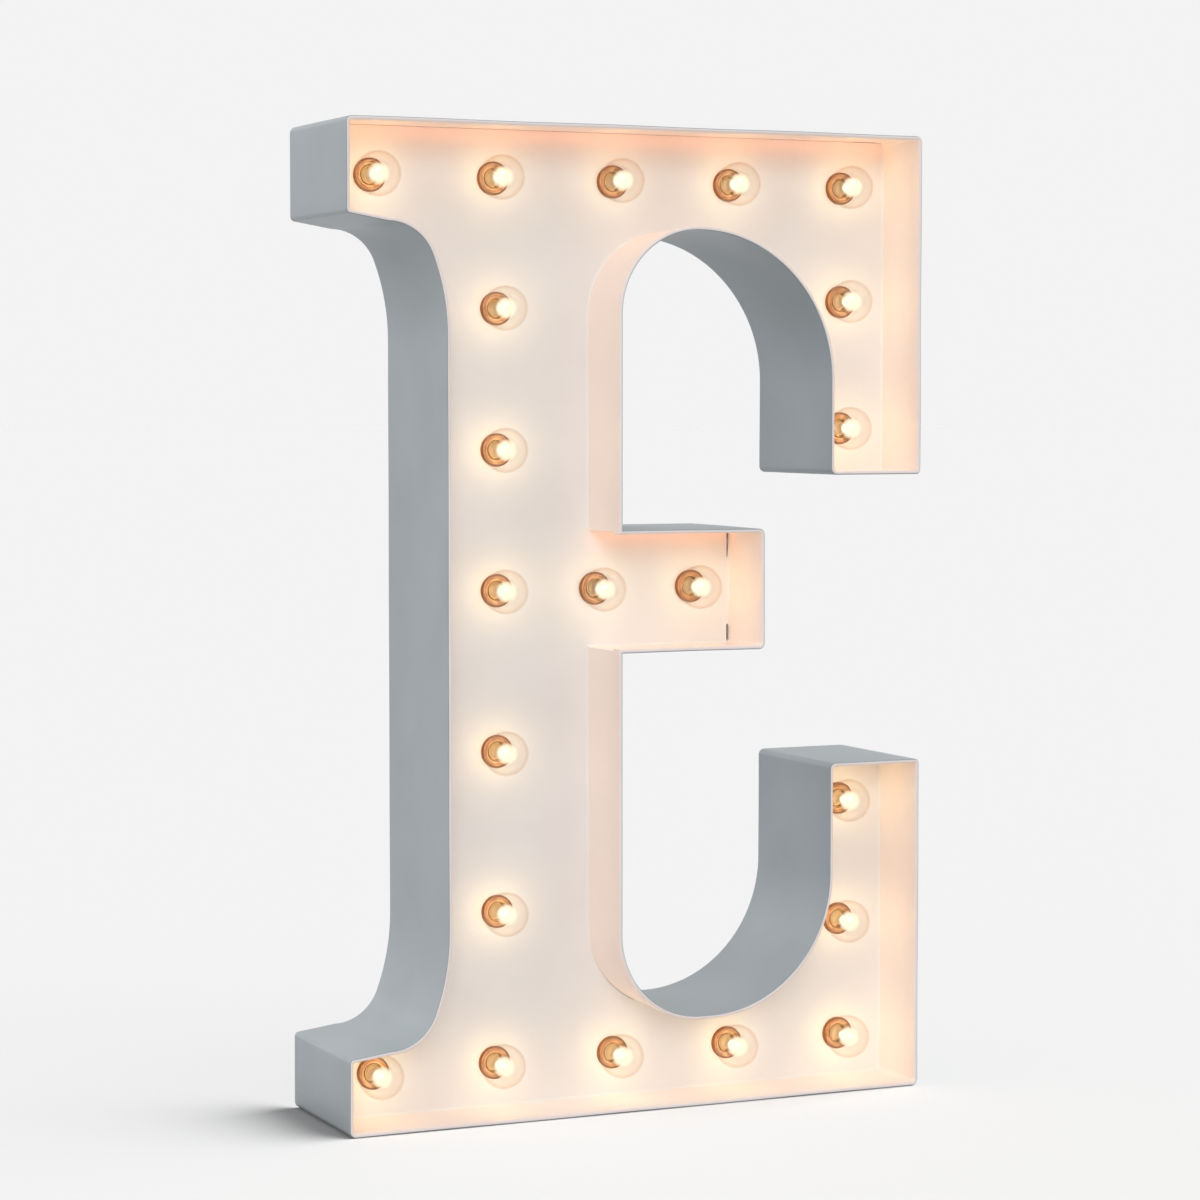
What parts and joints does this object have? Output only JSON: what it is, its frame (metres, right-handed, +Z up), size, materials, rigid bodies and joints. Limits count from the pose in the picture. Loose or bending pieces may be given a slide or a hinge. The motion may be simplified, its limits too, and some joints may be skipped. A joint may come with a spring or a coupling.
{
  "type": "marquee letter light",
  "caption": "Free-standing sheet metal letter E with deep side walls and a sunk face of clear globe lamps, run from a battery box with a rocker switch on its back.",
  "frame": {"origin": "under the middle of the letter, on the surface that its foot rests on", "axes": "+X to the letter's right as seen from the front, +Y towards the back, +Z up"},
  "size_m": [0.39, 0.1, 0.61],
  "materials": {
    "grey_enamel": "satin",
    "white_enamel": "satin",
    "zinc_steel": "satin",
    "back_paint": "satin",
    "nickel_plate": "gloss",
    "copper_collar": "gloss",
    "brown_phenolic": "satin",
    "brass": "satin",
    "clear_glass": "gloss",
    "lit_core": "matte",
    "red_insulation": "satin",
    "black_insulation": "satin",
    "black_plastic": "matte",
    "cell_jacket": "gloss"
  },
  "bodies": {
    "letter": {"back_cover": "back_paint", "battery_box": "black_plastic", "battery_cell_1": "cell_jacket", "battery_cell_2": "cell_jacket", "battery_contacts": "nickel_plate", "battery_tags": "nickel_plate", "bottom_return": "grey_enamel", "box_nuts": "nickel_plate", "box_screws": "nickel_plate", "bulb_caps": "brass", "bulb_globe_01": "clear_glass", "bulb_globe_02": "clear_glass", "bulb_globe_03": "clear_glass", "bulb_globe_04": "clear_glass", "bulb_globe_05": "clear_glass", "bulb_globe_06": "clear_glass", "bulb_globe_07": "clear_glass", "bulb_globe_08": "clear_glass", "bulb_globe_09": "clear_glass", "bulb_globe_10": "clear_glass", "bulb_globe_11": "clear_glass", "bulb_globe_12": "clear_glass", "bulb_globe_13": "clear_glass", "bulb_globe_14": "clear_glass", "bulb_globe_15": "clear_glass", "bulb_globe_16": "clear_glass", "bulb_globe_17": "clear_glass", "bulb_globe_18": "clear_glass", "bulb_globe_19": "clear_glass", "bulb_globe_20": "clear_glass", "bulb_globe_21": "clear_glass", "bulb_mounts": "clear_glass", "centre_contacts": "brass", "cover_screws": "nickel_plate", "cover_tabs": "zinc_steel", "face_panel": "white_enamel", "face_tabs": "zinc_steel", "lamp_cores": "lit_core", "lampholders": "copper_collar", "lower_counter_return": "grey_enamel", "middle_bar_return": "grey_enamel", "retaining_rings": "brown_phenolic", "return_lead": "black_insulation", "return_wires": "black_insulation", "seam_angles": "zinc_steel", "stem_return": "grey_enamel", "supply_leads": "red_insulation", "supply_wires": "red_insulation", "switch_blades": "brass", "switch_body": "black_plastic", "terminal_posts": "brass", "top_return": "grey_enamel", "upper_counter_return": "grey_enamel"},
    "rocker": {"switch_rocker": "black_plastic"},
    "door": {"battery_door": "black_plastic"}
  },
  "joints": [
    {"name": "rocker_tip", "type": "hinge", "parent": "letter", "child": "rocker", "pos_m": [-0.045, 0.04, 0.274], "axis": [1, 0, 0], "range_deg": [0, 22]},
    {"name": "door_slide", "type": "slide", "parent": "letter", "child": "door", "axis": [0, 0, -1], "range_m": [0, 0.05]}
  ]
}
